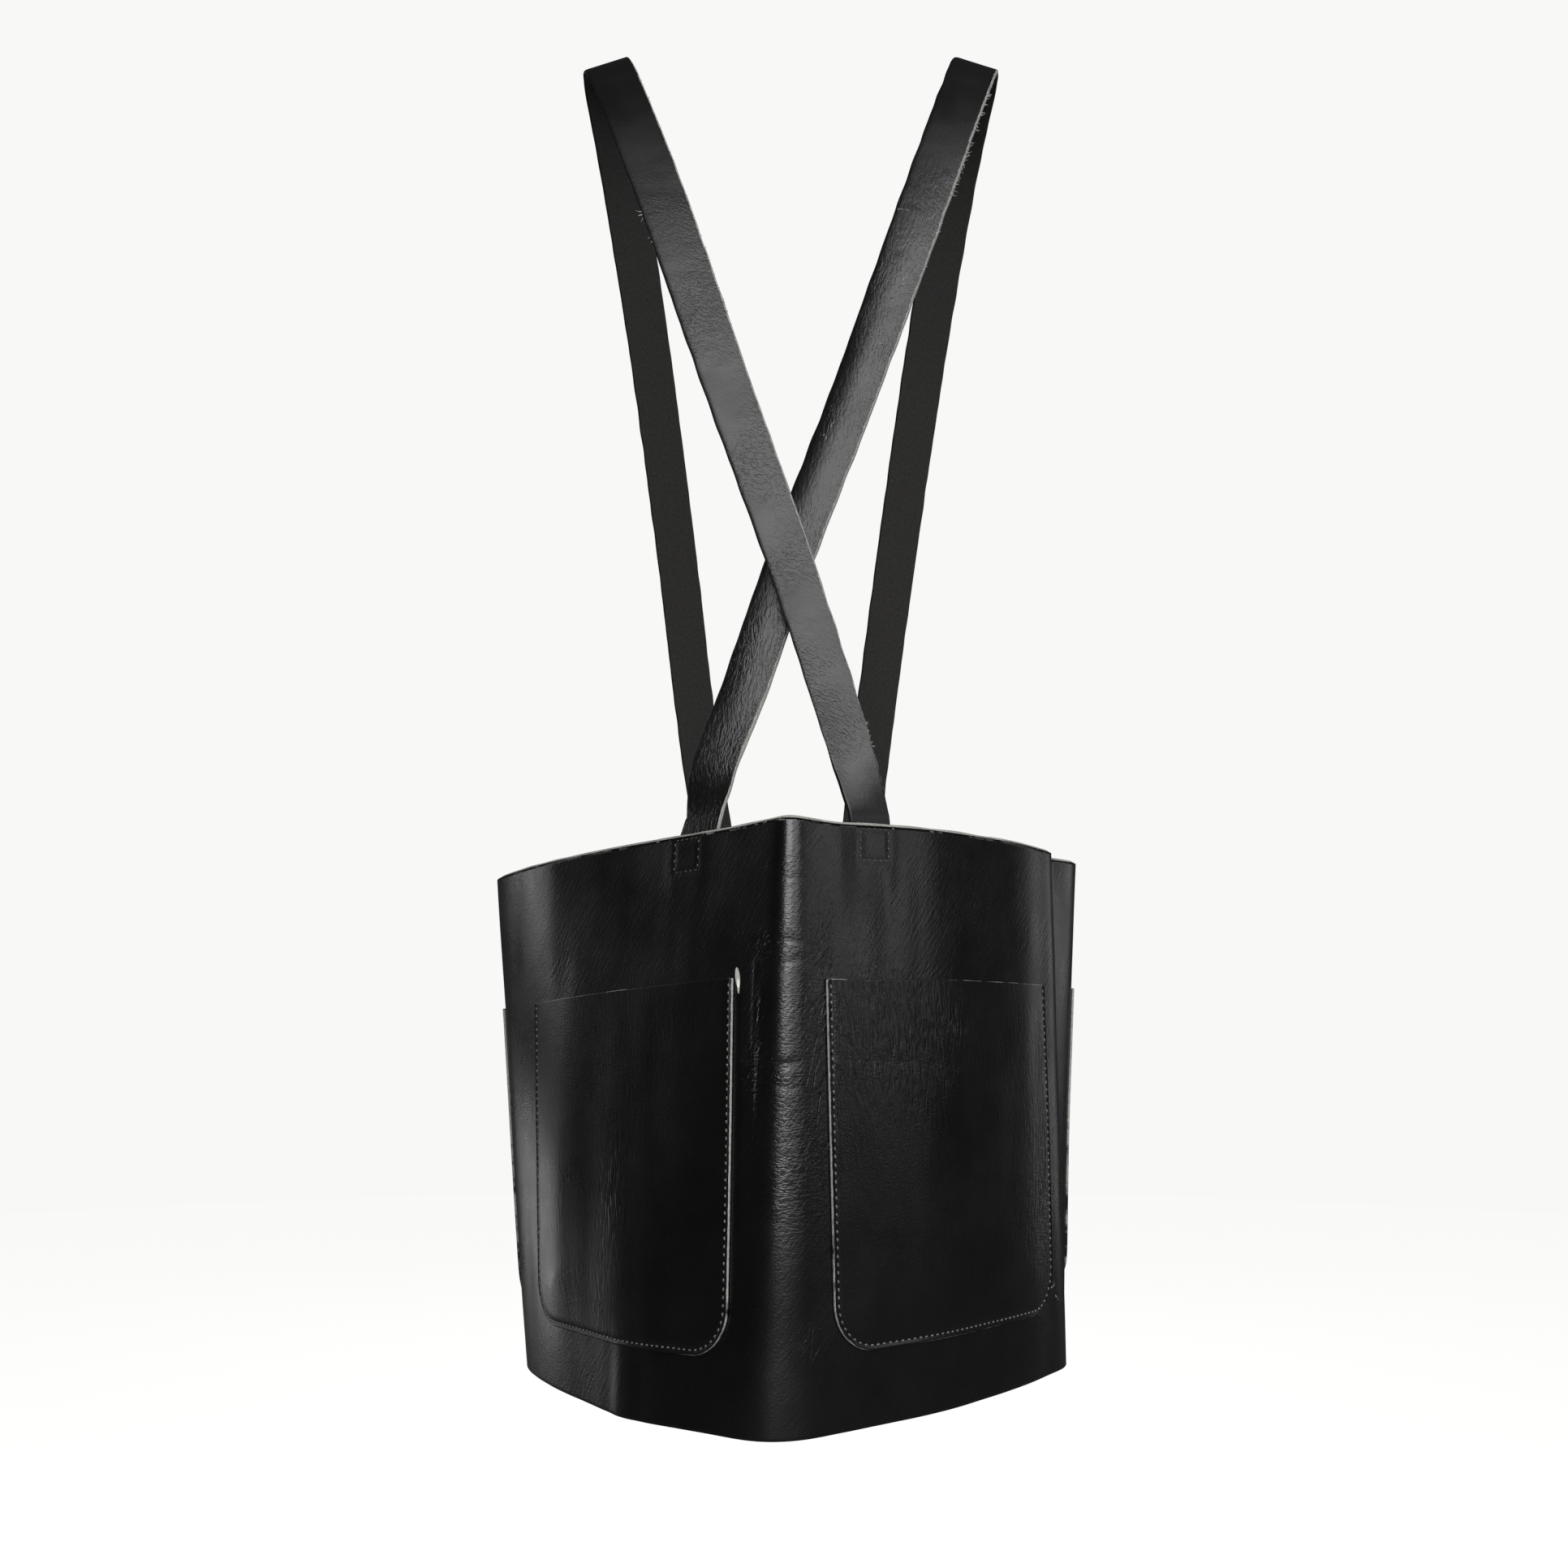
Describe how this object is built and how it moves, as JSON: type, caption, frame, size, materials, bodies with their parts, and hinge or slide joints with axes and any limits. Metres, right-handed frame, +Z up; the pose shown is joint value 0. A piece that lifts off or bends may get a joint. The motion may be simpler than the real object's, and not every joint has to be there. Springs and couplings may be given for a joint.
{
  "type": "leather pinafore apron",
  "caption": "Stiff black leather wrap skirt panel with rounded patch pockets, hung from leather shoulder straps that cross on the back and are sewn inside its top edge.",
  "frame": {"origin": "between the two straps, at the height of their undersides on top of the shoulders", "axes": "+X towards the wearer's right, +Y towards the wearer's front, +Z up"},
  "size_m": [0.3857, 0.3479, 0.8774],
  "materials": {
    "skirt_leather": "smooth black grain, semi-gloss, with pale raw cut edges",
    "pocket_leather": "smooth black grain, semi-gloss, with pale raw cut edges",
    "strap_leather": "wrinkled black grain, satin, with a pale slanted cut edge",
    "sewing_thread": "waxed dark sewing thread"
  },
  "bodies": {
    "root": {"skirt_panel": "skirt_leather", "back_pocket_left": "pocket_leather", "back_pocket_right": "pocket_leather", "front_pocket_left": "pocket_leather", "front_pocket_right": "pocket_leather", "strap_left": "strap_leather", "strap_right": "strap_leather"}
  },
  "joints": []
}
